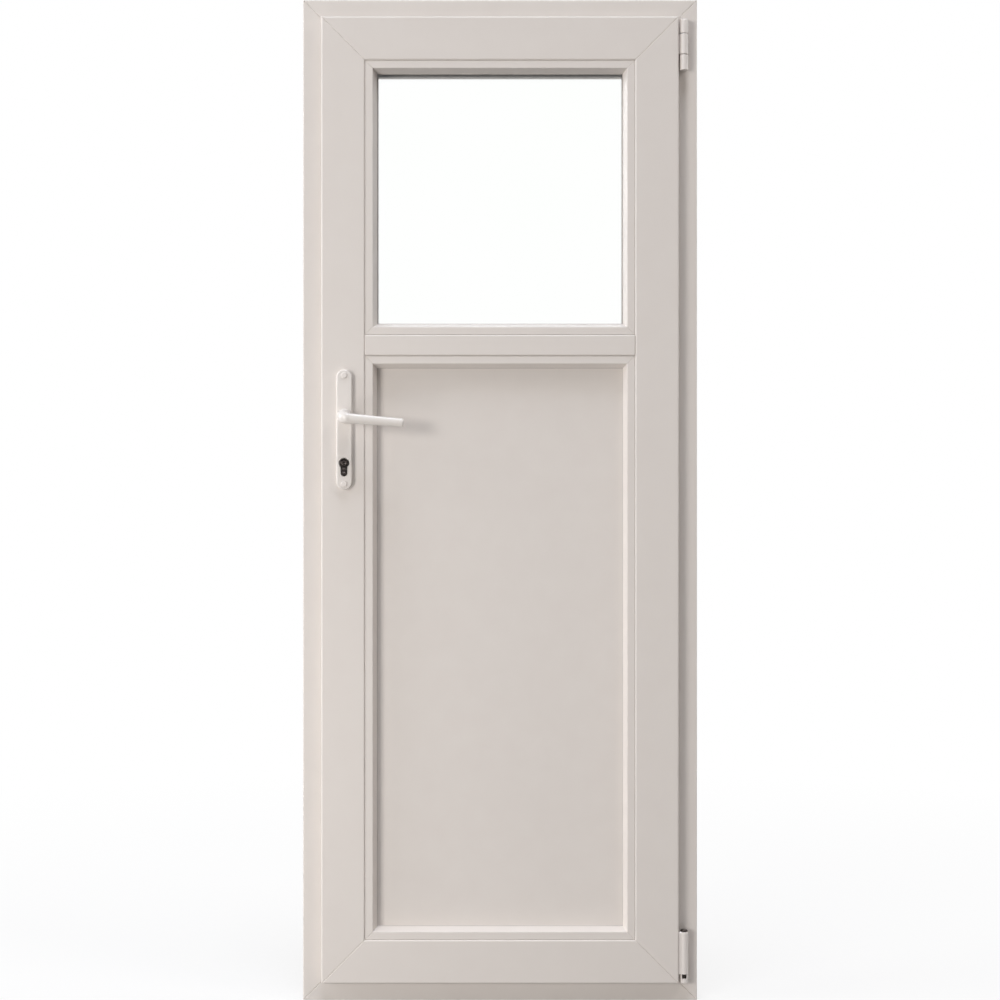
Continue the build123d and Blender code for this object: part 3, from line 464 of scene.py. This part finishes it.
bpy.ops.mesh.primitive_plane_add(size=FLOOR_SIZE, location=(0, 0, 0))
floor = bpy.context.object
floor.name = "studio_floor"
pale = bpy.data.materials.new("pale studio floor")
pale.use_nodes = True
tree = pale.node_tree
tree.nodes.remove(tree.nodes["Principled BSDF"])
seen = seen_by_eye(tree)
place = add_node(tree, "ShaderNodeTexCoord").outputs["Object"]
reach = add_node(tree, "ShaderNodeVectorMath", links={0: place}, operation="LENGTH")
fade = add_node(
    tree, "ShaderNodeMapRange",
    {"From Min": SHADOW_START, "From Max": SHADOW_REACH, "To Min": GLOW_NEAR, "To Max": 1.0},
    {"Value": reach.outputs["Value"]})
share = add_node(tree, "ShaderNodeMath", links={0: fade.outputs[0], 1: seen}, operation="MULTIPLY")
tone = add_node(
    tree, "ShaderNodeMix", {"A": linear("#A09E9C"), "B": linear("#F2F1F0")},
    {"Factor": seen}, data_type="RGBA")
matt = add_node(tree, "ShaderNodeBsdfDiffuse", links={"Color": tone.outputs["Result"]})
glow = add_node(tree, "ShaderNodeEmission", {"Color": linear("#FFFFFF"), "Strength": 1.0})
both = add_node(
    tree, "ShaderNodeMixShader", links={0: share.outputs[0], 1: matt.outputs[0], 2: glow.outputs[0]})
tree.links.new(both.outputs[0], tree.nodes["Material Output"].inputs["Surface"])
floor.data.materials.append(pale)
print("floor:", FLOOR_SIZE, "m square")

# %% [markdown]
# ## Light
# In the picture, edges that face left or up are bright, the lever's shadow falls to the right and only a little
# down, and the frame under the leaf is dark. A picture of a studio could light the door, but lamps can be set one by
# one against these signs. The key lamp stands low at the left. Two more at the left brighten the edges that face
# them, and one overhead does so for those that face up. A small one close by lifts the lower half, a weaker one at
# the right opens the shadows, and one at the hinge side and two behind are for other views. The rest stand far off,
# so that head and sill get about as much. The two at the left and the one overhead are a trace cooler than the key,
# as bright edges in the picture are. Each is placed by its direction from the middle of the door, and its size goes
# with its distance, so that all are equally soft.

# %% Lamps
FAR = 9
NEAR = 2
LAMP_SHARE = 0.31  # side of a lamp as a share of its distance
door_middle = Vector((0, 0, 1.0))
lamps = (  # name, degrees to the right of the camera's side, degrees up, distance, watts, tint
    ("left_softbox", -85, 8, FAR, 195, "#F4F8FF"),
    ("upper_left_softbox", -75, 25, FAR, 155, "#F4F8FF"),
    ("key_softbox", -40, 6, FAR, 306, "#FFFBF7"),
    ("low_left_softbox", -48, -20, NEAR, 5.5, "#FFFBF7"),
    ("overhead_softbox", 0, 75, FAR, 400, "#ECF3FF"),
    ("right_softbox", 60, 40, FAR, 160, "#FFF9F4"),
    ("hinge_side_softbox", 100, 10, FAR, 160, "#FFFFFF"),
    ("back_left_softbox", -157, 22, FAR, 275, "#FFFFFF"),
    ("back_right_softbox", 160, 20, FAR, 140, "#FFFFFF"),
)
for name, azimuth, elevation, distance, watts, tint in lamps:
    turn, lift = math.radians(azimuth), math.radians(elevation)
    toward = Vector((math.sin(turn) * math.cos(lift), -math.cos(turn) * math.cos(lift), math.sin(lift)))
    lamp = bpy.data.lights.new(name, "AREA")
    lamp.shape = "SQUARE"
    lamp.size = LAMP_SHARE * distance
    lamp.energy = watts
    lamp.color = linear(tint)[:3]
    holder = bpy.data.objects.new(name, lamp)
    bpy.context.scene.collection.objects.link(holder)
    holder.location = door_middle + distance * toward
    holder.rotation_euler = toward.to_track_quat("Z", "Y").to_euler()
    print(name, [round(v, 2) for v in holder.location], watts, "W")

# %% [markdown]
# ## Surroundings
# The surroundings are white to the eye, also through glass and in gloss. To every ray that a matt surface has
# scattered they are a weak warm fill, like the light that pale walls send back, because plain white all round would
# wash the shadows out.

# %% White surroundings
FILL_STRENGTH = 0.06
world = bpy.data.worlds.new("white studio")
bpy.context.scene.world = world
world.use_nodes = True
tree = world.node_tree
seen = seen_by_eye(tree)
level = add_node(tree, "ShaderNodeMapRange", {"To Min": FILL_STRENGTH, "To Max": 1.0}, {"Value": seen})
tone = add_node(
    tree, "ShaderNodeMix", {"A": linear("#FFF0E2"), "B": linear("#FFFFFF")},
    {"Factor": seen}, data_type="RGBA")
tree.links.new(level.outputs[0], tree.nodes["Background"].inputs["Strength"])
tree.links.new(tone.outputs["Result"], tree.nodes["Background"].inputs["Color"])
print("surroundings: white to the eye, fill of", FILL_STRENGTH)

# %% [markdown]
# ## Camera
# The picture shows the door square on, with its upright edges parallel, so the camera looks level from the middle of
# the door's height. A shifted lens would let it stand higher, but the shift would spoil views from other sides. A
# long lens from 3.5 m fills the picture with the two metres of the frame.

# %% Camera
CAMERA_DISTANCE = 3.5
PICTURE_HEIGHT = 2.0  # at the face of the frame
SENSOR_MM = 36
frame_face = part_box("frame_lock_jamb")[0].y
camera_data = bpy.data.cameras.new("studio_camera")
camera_data.sensor_width = SENSOR_MM
camera_data.lens = SENSOR_MM * CAMERA_DISTANCE / PICTURE_HEIGHT
camera = bpy.data.objects.new("studio_camera", camera_data)
bpy.context.scene.collection.objects.link(camera)
camera.location = (0, frame_face - CAMERA_DISTANCE, door_middle.z)
camera.rotation_euler = (math.radians(90), 0, 0)
bpy.context.scene.camera = camera
print("lens:", camera_data.lens, "mm")
